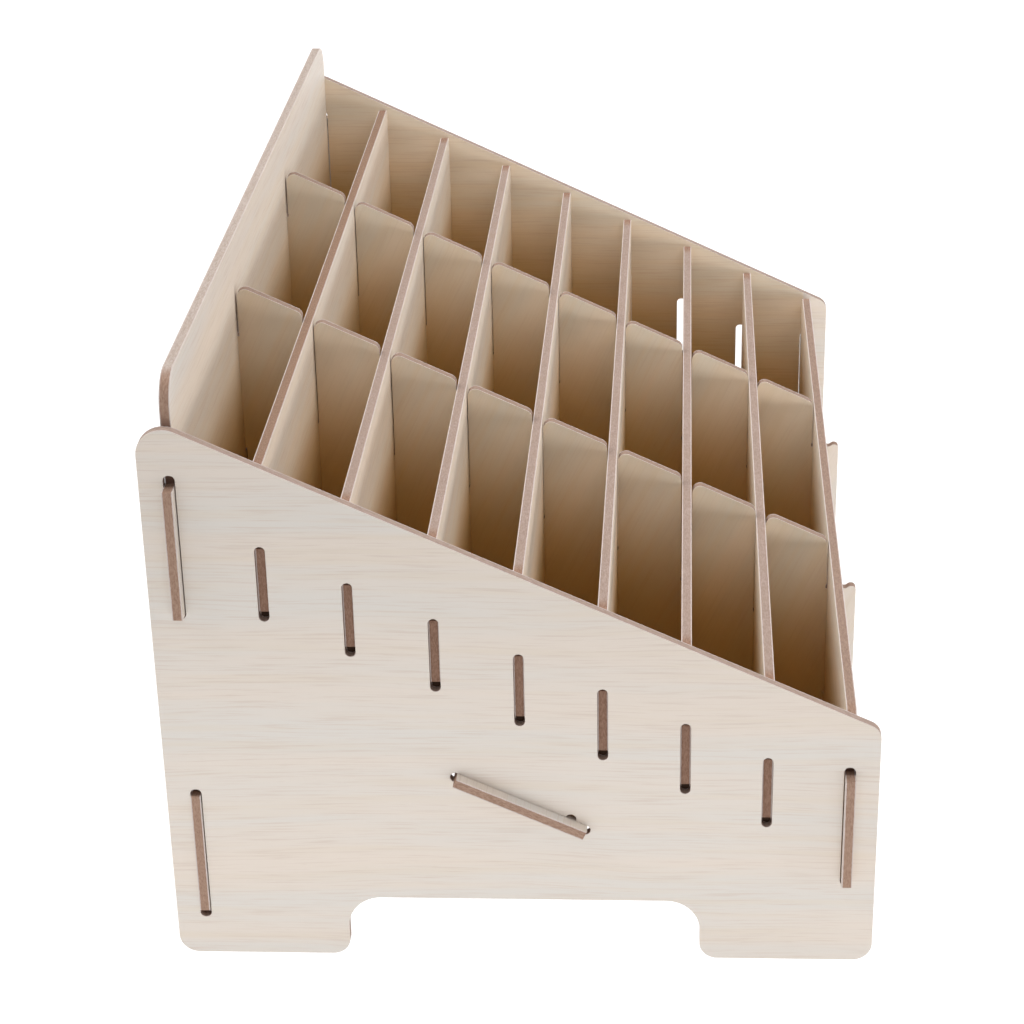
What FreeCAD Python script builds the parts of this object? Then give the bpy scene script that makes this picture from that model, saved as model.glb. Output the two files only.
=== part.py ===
import FreeCAD, Part
import math
import os

# Desktop organizer cut from flat sheet, with a sloping top and three columns of narrow open cells.
# Frame: the low front faces -Y, the tall back faces +Y, the side panels face -X and +X, and +Z is up.
# The origin is on the floor, under the middle of the object. All sizes are in millimetres.

# Driving dimensions
sheet = 3.1                    # thickness of every panel, with the foil on both of its faces
cutter_width = 3.2             # every slot is cut with this round cutter, and a snug slot is as wide
panel_length = 216.0           # front edge to back edge of a side panel
panel_back_height = 183.6      # sloping top of a side panel at its back edge, before rounding
top_slope = math.radians(25.0)
end_margin = 8.8               # from a side panel's end to the middle of the back or front panel
rows = 8
columns = 3
cell_width = 112.9             # clear width of a cell, from one upright to the next
floor_drop = 77.6              # from the sloping top line down to the middle of the base panel

# Side panel outline
back_corner_radius = 8.0
front_corner_radius = 5.0
foot_corner_radius = 6.0
foot_inner_radius = 5.5
arch_width = 109.0
arch_height = 21.1
arch_radius = 10.5

# Joints in the side panels. A tab is shorter than its slot by the clearance at each end.
joint_slot_length = 46.4
back_upper_slot_top = 164.8
back_lower_slot_top = 59.6
front_slot_top = 69.8
front_slot_length = 42.2
back_tab_top_gap = 3.7
front_tab_top_gap = 2.8
lower_tab_top_gap = 2.3
back_tab_length = 41.5
front_tab_length = 38.0
lower_tab_length = 41.7
end_slot_play = 0.3            # the slots for the back and front panels are wider on their inner side
tab_proud = 3.6                # how far the long tabs stand out of a side panel
lower_tab_proud = 0.4
tab_corner_radius = 0.3
divider_slot_drop = 25.7       # from the sloping top line down to the top of a divider's slot
divider_slot_length = 24.5
divider_tab_top_gap = 1.3
divider_tab_bottom_gap = 2.4
divider_tab_depth = 1.5        # a divider's tab reaches halfway through a side panel
base_slot_length = 46.4
base_tab_length = 43.1
base_joint_rise = 0.3          # the middle of that joint lies this far up the slope
base_side_gap = 4.0            # from the base panel's edges to the side panels, on both sides of its tabs
relief_radius = 1.7            # half-round relief in the upper edge of the base panel's slot
relief_offset = 16.0           # from the middle of that slot, measured along it

# Two of the right panel's slots are wider, and the play lies behind their tabs.
loose_rows = (6, 7)            # the two dividers nearest the front
loose_play = 2.5

# Back and front panels
back_panel_top = 193.5
back_panel_bottom = 8.0
back_panel_radius = 10.0
front_panel_top = 86.6
front_panel_bottom = 5.0
front_panel_radius = 6.0
lower_corner_radius = 2.0

# Dividers and partitions, which cross in half-lap slots
divider_top_drop = 2.0         # a divider's level top lies below the sloping top line
divider_corner_radius = 2.0
half_lap_height = 36.0         # from a divider's lower edge to the bottom of the partition's slot
half_lap_gap = 2.0             # clear height left between the two round slot ends
partition_slot_width = 3.7
partition_corner_radius = 2.6
partition_end_gap = 0.6
base_gap = 0.2                 # clearance between the uprights and the base panel

# Hooked tabs at both ends of a partition
hook_slot_drop = 13.3          # from the sloping top line down to the top of the hook's slot
hook_top_gap = 4.7
hook_length = 40.0
hook_reach = 9.7               # from the inner face of the panel to the tip of the hook
hook_width = 3.4               # from the tip back to the heel, where the neck begins
hook_rise = 0.9                # the crest stands higher than the neck
hook_crest_run = 1.3           # from the heel to the crest, along the reach
hook_tip_radius = 1.5
hook_crest_radius = 1.0
neck_radius = 0.8

tolerance = 1e-6

# Worked-out sizes
half_length = panel_length / 2
inner_width = columns * cell_width + (columns - 1) * sheet
half_inner = inner_width / 2
row_pitch = (panel_length - 2 * end_margin) / rows
partition_x = (cell_width + sheet) / 2
half_sheet_drop = sheet / 2 / math.cos(top_slope)


def top_line(y):
    """Height of the side panels' sloping top at y."""
    return panel_back_height - (half_length - y) * math.tan(top_slope)


def row_line(index):
    """y of the middle of upright number index, from 0 at the back panel to rows at the front panel."""
    return half_length - end_margin - index * row_pitch


def base_top(y):
    """Height of the base panel's upper face at y."""
    return top_line(y) - floor_drop + half_sheet_drop


def divider_bottom(y):
    """Lower edge of the divider whose middle is at y, clear of the base panel that rises to the back."""
    return base_top(y + sheet / 2) + base_gap


def rounded_wire(corners):
    """Closed flat wire through corners of (a, b, radius), with an arc where the radius is not 0."""
    points = []
    reaches = []
    starts = []
    middles = []
    ends = []
    for index, (a, b, radius) in enumerate(corners):
        point = FreeCAD.Vector(a, b, 0)
        before = FreeCAD.Vector(*corners[index - 1][:2], 0)
        after = FreeCAD.Vector(*corners[(index + 1) % len(corners)][:2], 0)
        to_before = (before - point).normalize()
        to_after = (after - point).normalize()
        half_angle = to_before.getAngle(to_after) / 2
        reach = radius / math.tan(half_angle)
        inward = (to_before + to_after).normalize()
        points.append(point)
        reaches.append(reach)
        starts.append(point + to_before * reach)
        ends.append(point + to_after * reach)
        middles.append(point + inward * (radius / math.sin(half_angle) - radius))
    edges = []
    for index, (a, b, radius) in enumerate(corners):
        after = (index + 1) % len(corners)
        side = points[index].distanceToPoint(points[after])
        if reaches[index] + reaches[after] > side + tolerance:
            raise ValueError("roundings do not fit on the %.2f mm side after corner %d" % (side, index))
        if radius > 0:
            edges.append(Part.Arc(starts[index], middles[index], ends[index]).toShape())
        following = starts[after]
        if ends[index].distanceToPoint(following) > tolerance:
            edges.append(Part.LineSegment(ends[index], following).toShape())
    return Part.Wire(edges)


def flat_plate(corners, thickness):
    """Plate lying in the XY plane, with its mid-thickness at z = 0."""
    plate = Part.Face(rounded_wire(corners)).extrude(FreeCAD.Vector(0, 0, thickness))
    plate.translate(FreeCAD.Vector(0, 0, -thickness / 2))
    return plate


def facing_x(plate, x):
    """Stand a flat plate up so that its outline (a, b) lies along (Y, Z) at x."""
    plate.rotate(FreeCAD.Vector(0, 0, 0), FreeCAD.Vector(1, 1, 1), 120)
    plate.translate(FreeCAD.Vector(x, 0, 0))
    return plate


def facing_y(plate, y):
    """Stand a flat plate up so that its outline (a, b) lies along (X, Z) at y."""
    plate.rotate(FreeCAD.Vector(0, 0, 0), FreeCAD.Vector(1, 0, 0), 90)
    plate.translate(FreeCAD.Vector(0, y, 0))
    return plate


def slot_cutter(middle, top, length, width=cutter_width):
    """Upright slot with the cutter's rounding at its ends, as a flat body thicker than the sheet."""
    low = top - length
    half = width / 2
    radius = cutter_width / 2
    corners = [(middle - half, low, radius), (middle + half, low, radius),
               (middle + half, top, radius), (middle - half, top, radius)]
    return flat_plate(corners, 3 * sheet)


def cut_all(plate, cutters):
    """The plate with every cutter taken out of it, as one solid."""
    return plate.cut(cutters).Solids[0]


def mirrored(right_half):
    """Whole outline from its right half, listed from the lower middle upwards."""
    return right_half + [(-a, b, radius) for a, b, radius in reversed(right_half)]


def tab(edge, reach, low, high):
    """Corners of a square tab on an upright edge, listed upwards."""
    radius = min(tab_corner_radius, reach / 2)
    return [(edge, low, 0), (edge + reach, low, radius), (edge + reach, high, radius), (edge, high, 0)]


def base_middle():
    """Middle of the base panel in (Y, Z)."""
    return FreeCAD.Vector(0, top_line(0) - floor_drop, 0)


def side_outline():
    """Outline of a side panel in (Y, Z): two feet, the arch between them and the sloping top."""
    back = half_length
    front = -half_length
    half_arch = arch_width / 2
    return [(back, 0, foot_corner_radius),
            (back, top_line(back), back_corner_radius),
            (front, top_line(front), front_corner_radius),
            (front, 0, foot_corner_radius),
            (-half_arch, 0, foot_inner_radius),
            (-half_arch, arch_height, arch_radius),
            (half_arch, arch_height, arch_radius),
            (half_arch, 0, foot_inner_radius)]


def base_slot():
    """Sloping slot for the base panel's tab, with its half-round relief, as one flat cutter."""
    slot = slot_cutter(0, base_joint_rise + base_slot_length / 2, base_slot_length)
    relief = Part.makeCylinder(relief_radius, 3 * sheet)
    relief.translate(FreeCAD.Vector(-cutter_width / 2, base_joint_rise - relief_offset, -1.5 * sheet))
    cutter = slot.fuse(relief)
    cutter.rotate(FreeCAD.Vector(0, 0, 0), FreeCAD.Vector(0, 0, 1), math.degrees(top_slope) - 90)
    cutter.translate(base_middle())
    return cutter


def side_panel(x, divider_play):
    """Side panel with its mid-thickness at x. The play widens the slots of the loose rows."""
    back = row_line(0)
    front = row_line(rows)
    shift = end_slot_play / 2
    width = cutter_width + end_slot_play
    cutters = [base_slot(),
               slot_cutter(back - shift, back_upper_slot_top, joint_slot_length, width),
               slot_cutter(back - shift, back_lower_slot_top, joint_slot_length, width),
               slot_cutter(front + shift, front_slot_top, front_slot_length, width)]
    for row in range(1, rows):
        play = divider_play if row in loose_rows else 0
        y = row_line(row)
        top = top_line(y) - divider_slot_drop
        cutters.append(slot_cutter(y + play / 2, top, divider_slot_length, cutter_width + play))
    return facing_x(cut_all(flat_plate(side_outline(), sheet), cutters), x)


def hook_slots(y):
    """Slots for the partitions' hooked tabs, in the panel that the hooks enter at y."""
    top = top_line(y) - hook_slot_drop
    return [slot_cutter(side * partition_x, top, joint_slot_length) for side in (-1, 1)]


def back_panel():
    upper_high = back_upper_slot_top - back_tab_top_gap
    lower_high = back_lower_slot_top - lower_tab_top_gap
    right_half = [(half_inner, back_panel_bottom, lower_corner_radius)]
    right_half += tab(half_inner, sheet + lower_tab_proud, lower_high - lower_tab_length, lower_high)
    right_half += tab(half_inner, sheet + tab_proud, upper_high - back_tab_length, upper_high)
    right_half.append((half_inner, back_panel_top, back_panel_radius))
    inner_face = row_line(0) - sheet / 2
    plate = cut_all(flat_plate(mirrored(right_half), sheet), hook_slots(inner_face))
    return facing_y(plate, row_line(0))


def front_panel():
    high = front_slot_top - front_tab_top_gap
    right_half = [(half_inner, front_panel_bottom, lower_corner_radius)]
    right_half += tab(half_inner, sheet + tab_proud, high - front_tab_length, high)
    right_half.append((half_inner, front_panel_top, front_panel_radius))
    inner_face = row_line(rows) + sheet / 2
    plate = cut_all(flat_plate(mirrored(right_half), sheet), hook_slots(inner_face))
    return facing_y(plate, row_line(rows))


def divider(row):
    """Upright sheet between the side panels, slotted from below where the partitions cross it."""
    y = row_line(row)
    bottom = divider_bottom(y)
    slot_roof = bottom + half_lap_height + half_lap_gap
    half_slot = cutter_width / 2
    tab_high = top_line(y) - divider_slot_drop - divider_tab_top_gap
    tab_low = top_line(y) - divider_slot_drop - divider_slot_length + divider_tab_bottom_gap
    right_half = [(partition_x - half_slot, bottom, 0),
                  (partition_x - half_slot, slot_roof, half_slot),
                  (partition_x + half_slot, slot_roof, half_slot),
                  (partition_x + half_slot, bottom, 0),
                  (half_inner, bottom, lower_corner_radius)]
    right_half += tab(half_inner, divider_tab_depth, tab_low, tab_high)
    right_half.append((half_inner, top_line(y) - divider_top_drop, divider_corner_radius))
    return facing_y(flat_plate(mirrored(right_half), sheet), y)


def hook(edge, inner_face, outward):
    """Corners of a hooked tab on a partition's end, listed from its lower edge to its neck."""
    tip = inner_face + outward * hook_reach
    heel = tip - outward * hook_width
    crest = heel + outward * hook_crest_run
    neck = top_line(inner_face) - hook_slot_drop - hook_top_gap
    head = neck + hook_rise
    low = neck - hook_length
    return [(edge, low, 0),
            (tip, low, hook_tip_radius),
            (tip, head, hook_tip_radius),
            (crest, head, hook_crest_radius),
            (heel, neck, neck_radius),
            (edge, neck, 0)]


def partition(x):
    """Upright sheet from back to front, slotted from above where it meets each divider."""
    back_face = row_line(0) - sheet / 2
    front_face = row_line(rows) + sheet / 2
    back = back_face - partition_end_gap
    front = front_face + partition_end_gap
    corners = [(back, base_top(back) + base_gap, lower_corner_radius)]
    corners += hook(back, back_face, 1)
    corners.append((back, top_line(back), partition_corner_radius))
    half_slot = partition_slot_width / 2
    for row in range(1, rows):
        y = row_line(row)
        floor = divider_bottom(y) + half_lap_height
        corners += [(y + half_slot, top_line(y + half_slot), partition_corner_radius),
                    (y + half_slot, floor, cutter_width / 2),
                    (y - half_slot, floor, cutter_width / 2),
                    (y - half_slot, top_line(y - half_slot), partition_corner_radius)]
    corners.append((front, top_line(front), partition_corner_radius))
    corners += reversed(hook(front, front_face, -1))
    corners.append((front, base_top(front) + base_gap, lower_corner_radius))
    return facing_x(flat_plate(corners, sheet), x)


def base_panel():
    """Sloping floor of the cells, parallel to the top, held by one tab in each side panel."""
    clear_length = row_line(0) - row_line(rows) - sheet - 2 * partition_end_gap
    half_run = (clear_length - sheet * math.sin(top_slope)) / math.cos(top_slope) / 2
    edge = half_inner - base_side_gap
    tab_low = base_joint_rise - base_tab_length / 2
    tab_high = base_joint_rise + base_tab_length / 2
    right_half = [(edge, -half_run, lower_corner_radius)]
    right_half += tab(edge, base_side_gap + sheet + tab_proud, tab_low, tab_high)
    right_half.append((edge, half_run, lower_corner_radius))
    plate = flat_plate(mirrored(right_half), sheet)
    plate.rotate(FreeCAD.Vector(0, 0, 0), FreeCAD.Vector(1, 0, 0), math.degrees(top_slope))
    plate.translate(FreeCAD.Vector(0, 0, base_middle().y))
    return plate


def build():
    """Every separate piece of the organizer, by name."""
    side_x = half_inner + sheet / 2
    pieces = {"side_panel_left": side_panel(-side_x, 0),
              "side_panel_right": side_panel(side_x, loose_play),
              "back_panel": back_panel(),
              "front_panel": front_panel(),
              "base_panel": base_panel(),
              "partition_left": partition(-partition_x),
              "partition_right": partition(partition_x)}
    for row in range(1, rows):
        pieces["divider_%d" % row] = divider(row)
    return pieces


def export(pieces):
    os.makedirs("parts", exist_ok=True)
    for name, shape in pieces.items():
        shape.exportStep("parts/%s.step" % name)


export(build())
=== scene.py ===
"""Looks of the slanted desktop organizer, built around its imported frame.

Units are metres in the shared frame: the low front faces -Y, the tall back faces +Y, the side panels
face -X and +X, and the origin is on the floor under the middle of the object. Every board keeps its CAD
shape. It gets softened arrises and a procedural material for 3 mm MDF faced with pale maple foil.
"""

import math

import bpy
from mathutils import Matrix, Vector


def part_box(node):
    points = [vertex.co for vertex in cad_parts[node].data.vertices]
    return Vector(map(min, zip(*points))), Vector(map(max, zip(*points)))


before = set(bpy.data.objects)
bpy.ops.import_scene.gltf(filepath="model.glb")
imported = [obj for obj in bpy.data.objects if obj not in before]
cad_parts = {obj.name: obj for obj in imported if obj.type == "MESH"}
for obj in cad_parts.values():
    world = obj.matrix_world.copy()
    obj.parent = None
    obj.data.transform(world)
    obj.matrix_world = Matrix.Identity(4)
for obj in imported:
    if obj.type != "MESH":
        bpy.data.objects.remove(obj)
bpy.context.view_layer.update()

# Camera
CAMERA_PLACE = Vector((-0.8419, -0.04695, 0.4796))
CAMERA_PITCH = 0.45372          # radians below the horizon
CAMERA_YAW = -0.02897           # radians from +X, positive towards -Y
CAMERA_ROLL = -0.00434
CAMERA_LENS = 91.06             # mm, on a 36 mm sensor
CAMERA_SHIFT = -0.09697

# Boards
HALF_BOARD = 1.55               # mm, half of a board's thickness
CLEAR_HALF = 172.45             # mm, from the middle to a side panel's inner face
CLEAR_DEPTH = 97.65             # mm, from the middle to the back or front panel's inner face
CELL_DEPTH = 77.5               # mm, below the sloping top line, where the painted light and shade inside the cells end
WELD_DISTANCE = 1e-6            # metres
TOP_AT_MIDDLE = 133.24          # mm, height of the sloping top line at the middle
FOIL_LINE = 0.30                # mm, of foil seen along a cut edge
FOIL_RAGGED = 0.25              # mm, unevenness of that line
ARRIS = 0.00016                 # metres, softening of every cut arris
SHARP_ANGLE = math.radians(40)  # edges sharper than this are softened
SLOPE = math.radians(25.0)      # of the top

# Surface
FOIL_ROUGHNESS = 0.40
STREAK_ROUGHNESS = 0.12         # added to it in the streaks
EDGE_ROUGHNESS = 0.85
GLOSS = 0.35
BUMP_STRENGTH = 0.25
BUMP_HEIGHT = 0.0002            # metres
STREAK_STRENGTH = 0.60          # of the fine streaks
PARTITION_STREAKS = 0.28
# Foil colours
FOIL_GREY = (0.661, 0.618, 0.571, 1)
FOIL_PINK = (0.697, 0.615, 0.542, 1)
FOIL_HONEY = (0.668, 0.579, 0.478, 1)
FOIL_STREAK = (0.590, 0.488, 0.418, 1)
FOIL_PORE = (0.52, 0.42, 0.33, 1)
# Painted light and shade on the foil inside the cells, multiplied into it: lighter and warmer near the
# top, darker and browner towards the cell floor
CELL_TOP_PAINTED_LIGHT = (1.135, 1.060, 0.920, 1)
CELL_TOP_PAINTED_LIGHT_PALE = (1.095, 1.050, 0.985, 1)
CELL_FLOOR_PAINTED_SHADE = (0.85, 0.62, 0.26, 1)
# Cut edges. Tabs are (light grain, dark grain, painted shade at the root beside the side panel).
CORE_LIGHT = (0.410, 0.310, 0.263, 1)
CORE_DARK = (0.285, 0.203, 0.166, 1)
CORE_WARM = (0.320, 0.225, 0.170, 1)
END_TABS = ((0.385, 0.255, 0.190, 1), (0.265, 0.158, 0.108, 1), (0.260, 0.155, 0.115, 1))
DIVIDER_TABS = ((0.340, 0.205, 0.145, 1), (0.220, 0.120, 0.078, 1), (0.090, 0.050, 0.030, 1))
# Tint of the cut edges of single boards, painted light and shade: lighter on the back panel, darker on the
# front panel, the first divider and the partitions
CORE_PAINTED_TONES = {"back_panel": (1.22, 1.36, 1.42),
              "front_panel": (0.87, 0.80, 0.74),
              "divider_1": (0.83, 0.70, 0.58),
              "partition_left": (0.88, 0.82, 0.76),
              "partition_right": (0.88, 0.82, 0.76)}
FOIL_EDGE = (0.560, 0.480, 0.455, 1)

# Studio
WORLD_BRIGHTNESS = 0.08
FLOOR_GREY = (0.1, 0.1, 0.1, 1)
FLOOR_GLOW = 1.1
FLOOR_SIZE = 12                 # metres
BACKDROP_RADIUS = 5.8           # metres, of the pale dome that only the camera sees
# Soft lights: name, place, target, size, and power in watts
LIGHTS = [("front_above", (0, -1.1, 1.3), (0, 0, 0.1), (1.4, 1.0), 12),
          ("back_above", (0, 1.1, 1.3), (0, 0, 0.1), (1.4, 1.0), 21),
          ("near_above", (-1.1, 0, 1.3), (0, 0, 0.1), (1.4, 1.0), 4.8),
          ("above", (0.02, -0.2, 0.75), (0.02, -0.04, 0.1), (0.3, 0.8), 2.2),
          ("front_low", (-0.16, -0.42, 0.05), (0.1, -0.1, 0.04), (0.2, 0.08), 0.50),
          ("far_side", (0.55, -0.22, 0.32), (0.17, 0.1, 0.17), (0.2, 0.2), 0.35),
          ("near_low", (-0.33, 0, 0.012), (-0.17, 0, 0.03), (0.6, 0.02), 0.17)]

ALONG_X = Vector((1, 0, 0))
ALONG_Y = Vector((0, 1, 0))
ALONG_Z = Vector((0, 0, 1))
DOWN_SLOPE = Vector((0, -math.cos(SLOPE), -math.sin(SLOPE)))
OFF_SLOPE = Vector((0, -math.sin(SLOPE), math.cos(SLOPE)))


class Nodes:
    """Builds a material's node tree with short calls. A socket or a plain value can feed any input."""

    def __init__(self, name):
        self.material = bpy.data.materials.new(name)
        self.material.use_nodes = True
        self.tree = self.material.node_tree
        self.tree.nodes.clear()

    def add(self, kind, settings=None, **inputs):
        node = self.tree.nodes.new(kind)
        for key, value in (settings or {}).items():
            setattr(node, key, value)
        for key, value in inputs.items():
            self.feed(node, key.replace("_", " "), value)
        return node

    def feed(self, node, key, value):
        socket = node.inputs[int(key)] if key.isdigit() else node.inputs[key]
        if isinstance(value, bpy.types.NodeSocket):
            self.tree.links.new(value, socket)
        else:
            socket.default_value = value

    def math(self, operation, *values):
        node = self.tree.nodes.new("ShaderNodeMath")
        node.operation = operation
        for index, value in enumerate(values):
            self.feed(node, str(index), value)
        return node.outputs[0]

    def vector(self, operation, *values):
        node = self.tree.nodes.new("ShaderNodeVectorMath")
        node.operation = operation
        for index, value in enumerate(values):
            self.feed(node, str(index), value)
        return node.outputs["Value" if operation == "DOT_PRODUCT" else "Vector"]

    def combine(self, x, y, z):
        return self.add("ShaderNodeCombineXYZ", X=x, Y=y, Z=z).outputs[0]

    def noise(self, point, detail=2.0, roughness=0.5, scale=1.0):
        node = self.add("ShaderNodeTexNoise", {"noise_dimensions": "3D"},
                        Vector=point, Scale=scale, Detail=detail, Roughness=roughness)
        return node.outputs["Fac"]

    def ramp(self, value, low, high):
        """0 at low and 1 at high, with soft ends."""
        node = self.add("ShaderNodeMapRange", {"interpolation_type": "SMOOTHSTEP"})
        self.feed(node, "Value", value)
        self.feed(node, "From Min", low)
        self.feed(node, "From Max", high)
        return node.outputs["Result"]

    def mix(self, factor, first, second, blend="MIX"):
        node = self.add("ShaderNodeMix", {"data_type": "RGBA", "blend_type": blend})
        self.feed(node, "0", factor)
        self.feed(node, "6", first)
        self.feed(node, "7", second)
        return node.outputs[2]


def board_point(nodes, centre, grain, across, thick, seed):
    """A board's own coordinates in millimetres: along the grain, across it, and from mid-thickness."""
    place = nodes.add("ShaderNodeTexCoord").outputs["Object"]
    local = nodes.vector("SUBTRACT", place, centre)
    millimetres = nodes.vector("MULTIPLY", local, (1000, 1000, 1000))
    parts = [nodes.vector("DOT_PRODUCT", millimetres, axis) for axis in (grain, across, thick)]
    along = nodes.math("ADD", parts[0], 137.0 * seed)
    side = nodes.math("ADD", parts[1], 61.0 * seed)
    return along, side, parts[2]


def streaks(nodes, along, side, layer, length, width, detail=2.0, roughness=0.5):
    """Noise stretched along the grain: streaks about length by width millimetres."""
    point = nodes.combine(nodes.math("DIVIDE", along, length), nodes.math("DIVIDE", side, width), layer)
    return nodes.noise(point, detail, roughness)


def foil_colour(nodes, along, side, layer, fineness):
    """Printed maple: broad pink and grey bands, fine streaks, and short dark pores."""
    drift = streaks(nodes, along, side, layer, 150.0, 60.0)
    side = nodes.math("ADD", side, nodes.math("MULTIPLY", drift, 9.0))
    broad = streaks(nodes, along, side, layer, 260.0, 15.0, 3.0)
    middle = streaks(nodes, along, side, nodes.math("ADD", layer, 3.7), 90.0, 3.2, 3.0)
    fine = streaks(nodes, along, side, nodes.math("ADD", layer, 7.1), 24.0, 0.70, 3.0, 0.6)
    pores = streaks(nodes, along, side, nodes.math("ADD", layer, 11.3), 5.0, 0.32, 2.0)
    colour = nodes.mix(nodes.ramp(broad, 0.35, 0.65), FOIL_GREY, FOIL_PINK)
    colour = nodes.mix(nodes.math("MULTIPLY", nodes.ramp(middle, 0.45, 0.7), 0.45), colour, FOIL_HONEY)
    colour = nodes.mix(nodes.math("MULTIPLY", nodes.ramp(fine, 0.48, 0.72), fineness), colour, FOIL_STREAK)
    colour = nodes.mix(nodes.math("MULTIPLY", nodes.ramp(pores, 0.66, 0.8), 0.25), colour, FOIL_PORE)
    return colour, fine, pores


def drop_below_top(nodes, place):
    """Height of the sloping top line above a point."""
    y = nodes.vector("DOT_PRODUCT", place, (0, 1, 0))
    top = nodes.math("ADD", nodes.math("MULTIPLY", y, math.tan(SLOPE)), TOP_AT_MIDDLE)
    return nodes.math("SUBTRACT", top, nodes.vector("DOT_PRODUCT", place, (0, 0, 1)))


def cell_warmth(nodes, colour, place, cell_painted_light):
    """The foil's colour inside the cells, with painted light and shade: lighter and warmer near the top,
    turning to a painted amber shade towards their floor.
    """
    x = nodes.vector("DOT_PRODUCT", place, (1, 0, 0))
    y = nodes.vector("DOT_PRODUCT", place, (0, 1, 0))
    drop = drop_below_top(nodes, place)
    inside_x = nodes.ramp(nodes.math("ABSOLUTE", x), CLEAR_HALF + 1.0, CLEAR_HALF + 0.2)
    inside_y = nodes.ramp(nodes.math("ABSOLUTE", y), CLEAR_DEPTH + 1.0, CLEAR_DEPTH + 0.2)
    above_floor = nodes.ramp(drop, CELL_DEPTH + 1.5, CELL_DEPTH)
    inside = nodes.math("MULTIPLY", nodes.math("MULTIPLY", inside_x, inside_y), above_floor)
    # painted light near the top of the cells, painted shade towards their floor
    painted_light_zone = nodes.math("MULTIPLY", inside, nodes.ramp(drop, -10.0, 4.0))
    painted_shade_zone = nodes.math("MULTIPLY", inside, nodes.ramp(drop, 8.0, 60.0))
    colour = nodes.mix(painted_light_zone, colour, cell_painted_light, "MULTIPLY")
    return nodes.mix(painted_shade_zone, colour, CELL_FLOOR_PAINTED_SHADE, "MULTIPLY")


def tinted(colour, painted_edge_tint):
    return tuple(value * factor for value, factor in zip(colour, painted_edge_tint)) + (1,)


def core_colour(nodes, along, side, thick, painted_edge_tint):
    """Cut MDF: pinkish fibre in thin layers, with fine speckle and broad clouds. The board's tint paints
    light and shade into it.
    """
    layered = nodes.combine(nodes.math("MULTIPLY", along, 0.3), nodes.math("MULTIPLY", side, 0.3), thick)
    speckle = nodes.noise(layered, 4.0, 0.7, 2.4)
    cloud = nodes.noise(layered, 2.0, 0.5, 0.3)
    grains = nodes.ramp(speckle, 0.3, 0.7)
    colour = nodes.mix(grains, tinted(CORE_DARK, painted_edge_tint), tinted(CORE_LIGHT, painted_edge_tint))
    clouded = nodes.math("MULTIPLY", nodes.ramp(cloud, 0.35, 0.7), 0.3)
    colour = nodes.mix(clouded, colour, tinted(CORE_WARM, painted_edge_tint))
    return colour, speckle, grains


def tab_colour(nodes, colour, grains, place, light, dark, root_painted_shade):
    """Browner core from 10.5 mm inside the side panels' inner faces out over the tabs: partly the tabs'
    own browner cut, partly painted shade on the edges just before the side panels. Painted shade at the
    tabs' roots beside the side panels' inner faces.
    """
    reach = nodes.math("ABSOLUTE", nodes.vector("DOT_PRODUCT", place, (1, 0, 0)))
    tab = nodes.mix(grains, dark, light)
    # browner from 10.5 mm before the side panels: the tabs' own brown and painted shade
    colour = nodes.mix(nodes.ramp(reach, CLEAR_HALF - 10.5, CLEAR_HALF - 4.0), colour, tab)
    # painted shade at the tabs' roots where they pass the side panels' inner faces, only below the sloping
    # top line
    root_shade_mask = nodes.math("MULTIPLY", nodes.ramp(reach, CLEAR_HALF - 0.3, CLEAR_HALF - 0.1),
                         nodes.ramp(reach, CLEAR_HALF + 0.7, CLEAR_HALF + 0.4))
    root_shade_mask = nodes.math("MULTIPLY", root_shade_mask, nodes.ramp(drop_below_top(nodes, place), -4.0, 1.0))
    return nodes.mix(root_shade_mask, colour, root_painted_shade)


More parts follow.
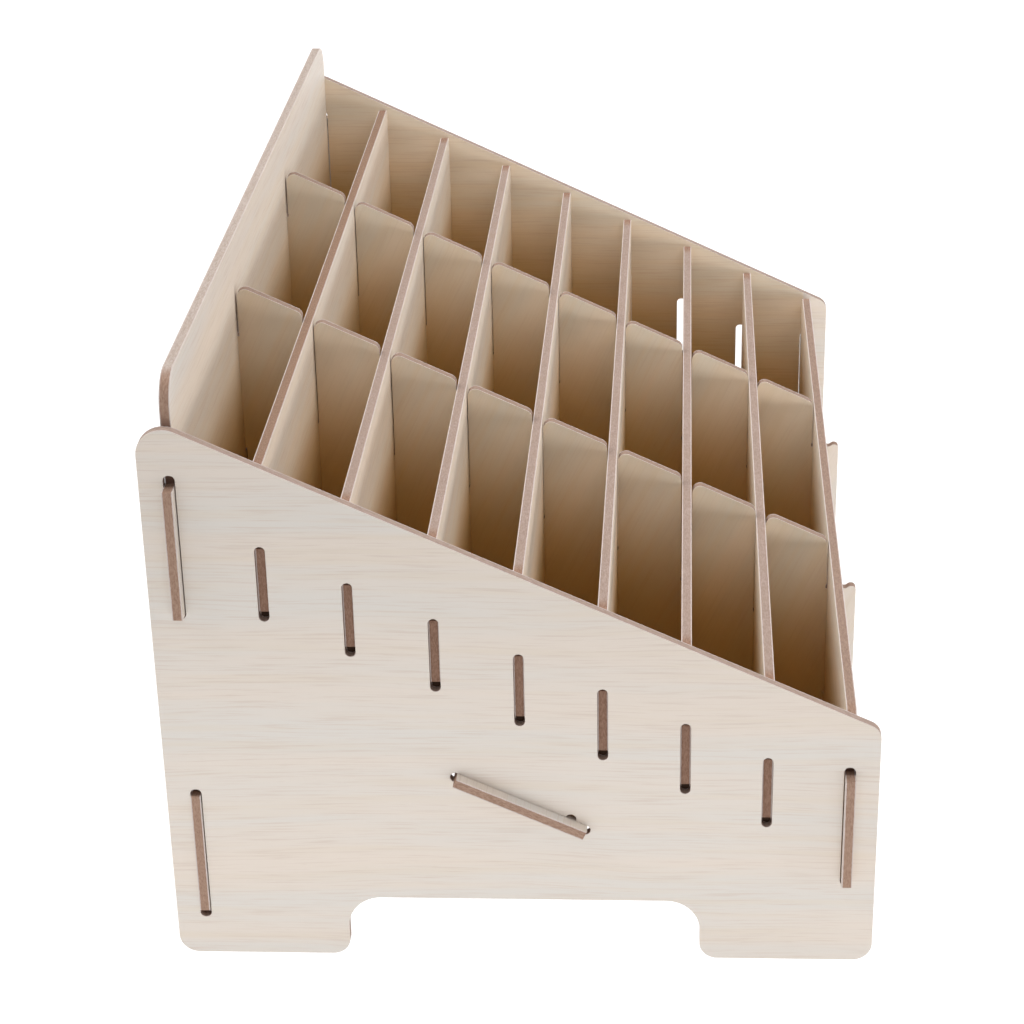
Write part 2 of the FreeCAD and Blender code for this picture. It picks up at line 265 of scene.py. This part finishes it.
def board_material(name, centre, grain, across, thick, seed):
    nodes = Nodes(name + "_finish")
    along, side, depth = board_point(nodes, centre, grain, across, thick, seed)
    place = nodes.add("ShaderNodeTexCoord").outputs["Object"]
    place = nodes.vector("MULTIPLY", place, (1000, 1000, 1000))
    layer = nodes.math("MULTIPLY", nodes.math("SIGN", depth), 23.0)
    fineness = PARTITION_STREAKS if name.startswith("partition") else STREAK_STRENGTH
    foil, fine, pores = foil_colour(nodes, along, side, layer, fineness)
    # painted light and shade inside the cells, stronger on the partitions and side panels
    cell_painted_light = CELL_TOP_PAINTED_LIGHT if name.startswith(("partition", "side")) else CELL_TOP_PAINTED_LIGHT_PALE
    foil = cell_warmth(nodes, foil, place, cell_painted_light)
    # per-board tint of the cut edges: painted light and shade
    core, speckle, grains = core_colour(nodes, along, side, depth, CORE_PAINTED_TONES.get(name, (1, 1, 1)))
    tabs = tab_colours(name)
    if tabs:
        core = tab_colour(nodes, core, grains, place, *tabs)
    from_middle = nodes.math("ABSOLUTE", depth)
    raggedness = nodes.math("MULTIPLY", nodes.math("SUBTRACT", speckle, 0.5), FOIL_RAGGED)
    ragged = nodes.math("ADD", from_middle, raggedness)
    at_skin = nodes.ramp(ragged, HALF_BOARD - FOIL_LINE - 0.06, HALF_BOARD - FOIL_LINE + 0.06)
    at_face = nodes.ramp(from_middle, HALF_BOARD - 0.06, HALF_BOARD - 0.02)
    colour = nodes.mix(at_skin, core, FOIL_EDGE)
    colour = nodes.mix(at_face, colour, foil)
    face_rough = nodes.math("ADD", FOIL_ROUGHNESS, nodes.math("MULTIPLY", fine, STREAK_ROUGHNESS))
    rough = nodes.add("ShaderNodeMix", {"data_type": "FLOAT"})
    nodes.feed(rough, "0", at_face)
    nodes.feed(rough, "2", EDGE_ROUGHNESS)
    nodes.feed(rough, "3", face_rough)
    relief = nodes.add("ShaderNodeMix", {"data_type": "FLOAT"})
    nodes.feed(relief, "0", at_face)
    nodes.feed(relief, "2", speckle)
    grain_relief = nodes.math("MULTIPLY", fine, 0.3)
    pore_relief = nodes.math("MULTIPLY", pores, 0.25)
    nodes.feed(relief, "3", nodes.math("SUBTRACT", grain_relief, pore_relief))
    bump = nodes.add("ShaderNodeBump", Strength=BUMP_STRENGTH, Distance=BUMP_HEIGHT,
                     Height=relief.outputs[0])
    shader = nodes.add("ShaderNodeBsdfPrincipled", Base_Color=colour, Roughness=rough.outputs[0],
                       Normal=bump.outputs[0])
    shader.inputs["Specular IOR Level"].default_value = GLOSS
    nodes.add("ShaderNodeOutputMaterial", Surface=shader.outputs[0])
    return nodes.material


def board_axes(name):
    """Grain, across and thickness directions of a board."""
    if name.startswith("side_panel"):
        return ALONG_Y, ALONG_Z, ALONG_X
    if name.startswith("partition"):
        return OFF_SLOPE, DOWN_SLOPE, ALONG_X
    if name == "base_panel":
        return ALONG_X, DOWN_SLOPE, OFF_SLOPE
    return ALONG_X, ALONG_Z, ALONG_Y


def tab_colours(name):
    """Light and dark grain of a board's tabs and the painted shade at their roots, if it has tabs."""
    if name.startswith("divider"):
        return DIVIDER_TABS
    if name in ("back_panel", "front_panel", "base_panel"):
        return END_TABS
    return None


def soften(board):
    """Rounded arrises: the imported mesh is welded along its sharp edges, then bevelled."""
    weld = board.modifiers.new("weld", "WELD")
    weld.merge_threshold = WELD_DISTANCE
    bevel = board.modifiers.new("arris", "BEVEL")
    bevel.width = ARRIS
    bevel.segments = 2
    bevel.limit_method = "ANGLE"
    bevel.angle_limit = SHARP_ANGLE
    bevel.harden_normals = True


def finish_boards():
    for seed, (name, board) in enumerate(sorted(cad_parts.items())):
        low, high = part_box(name)
        material = board_material(name, (low + high) / 2, *board_axes(name), seed + 1)
        board.data.materials.clear()
        board.data.materials.append(material)
        soften(board)


def make_camera():
    level = Vector((math.cos(CAMERA_YAW), -math.sin(CAMERA_YAW), 0))
    right = Vector((-math.sin(CAMERA_YAW), -math.cos(CAMERA_YAW), 0))
    forward = level * math.cos(CAMERA_PITCH) - ALONG_Z * math.sin(CAMERA_PITCH)
    above = ALONG_Z * math.cos(CAMERA_PITCH) + level * math.sin(CAMERA_PITCH)
    turned_right = right * math.cos(CAMERA_ROLL) + above * math.sin(CAMERA_ROLL)
    turned_up = above * math.cos(CAMERA_ROLL) - right * math.sin(CAMERA_ROLL)
    data = bpy.data.cameras.new("camera")
    data.lens = CAMERA_LENS
    data.sensor_width = 36
    data.shift_x = CAMERA_SHIFT
    data.clip_start = 0.01
    camera = bpy.data.objects.new("camera", data)
    turn = Matrix((turned_right, turned_up, -forward)).transposed().to_4x4()
    camera.matrix_world = Matrix.Translation(CAMERA_PLACE) @ turn
    bpy.context.scene.collection.objects.link(camera)
    bpy.context.scene.camera = camera


def area_light(name, place, target, size, power):
    data = bpy.data.lights.new(name, "AREA")
    data.shape = "RECTANGLE"
    data.size, data.size_y = size
    data.energy = power
    light = bpy.data.objects.new(name, data)
    light.location = place
    light.visible_camera = False
    light.rotation_euler = (Vector(target) - Vector(place)).to_track_quat("-Z", "Y").to_euler()
    bpy.context.scene.collection.objects.link(light)


def make_studio():
    world = bpy.data.worlds.new("studio")
    world.use_nodes = True
    background = world.node_tree.nodes["Background"]
    background.inputs["Color"].default_value = (1, 1, 1, 1)
    background.inputs["Strength"].default_value = WORLD_BRIGHTNESS
    bpy.context.scene.world = world
    bpy.ops.mesh.primitive_plane_add(size=FLOOR_SIZE)
    floor = bpy.context.active_object
    floor.name = "floor"
    nodes = Nodes("floor_white")
    shader = nodes.add("ShaderNodeBsdfPrincipled", Base_Color=FLOOR_GREY, Roughness=0.9)
    shader.inputs["Emission Color"].default_value = (1, 1, 1, 1)
    shader.inputs["Emission Strength"].default_value = FLOOR_GLOW
    nodes.add("ShaderNodeOutputMaterial", Surface=shader.outputs[0])
    floor.data.materials.append(nodes.material)
    bpy.ops.mesh.primitive_uv_sphere_add(segments=64, ring_count=32, radius=BACKDROP_RADIUS)
    backdrop = bpy.context.active_object
    backdrop.name = "backdrop"
    backdrop.data.materials.append(nodes.material)
    backdrop.visible_diffuse = False
    backdrop.visible_glossy = False
    backdrop.visible_transmission = False
    backdrop.visible_shadow = False
    for light in LIGHTS:
        area_light(*light)
    bpy.context.scene.view_settings.view_transform = "Standard"


finish_boards()
make_camera()
make_studio()

bpy.context.view_layer.update()
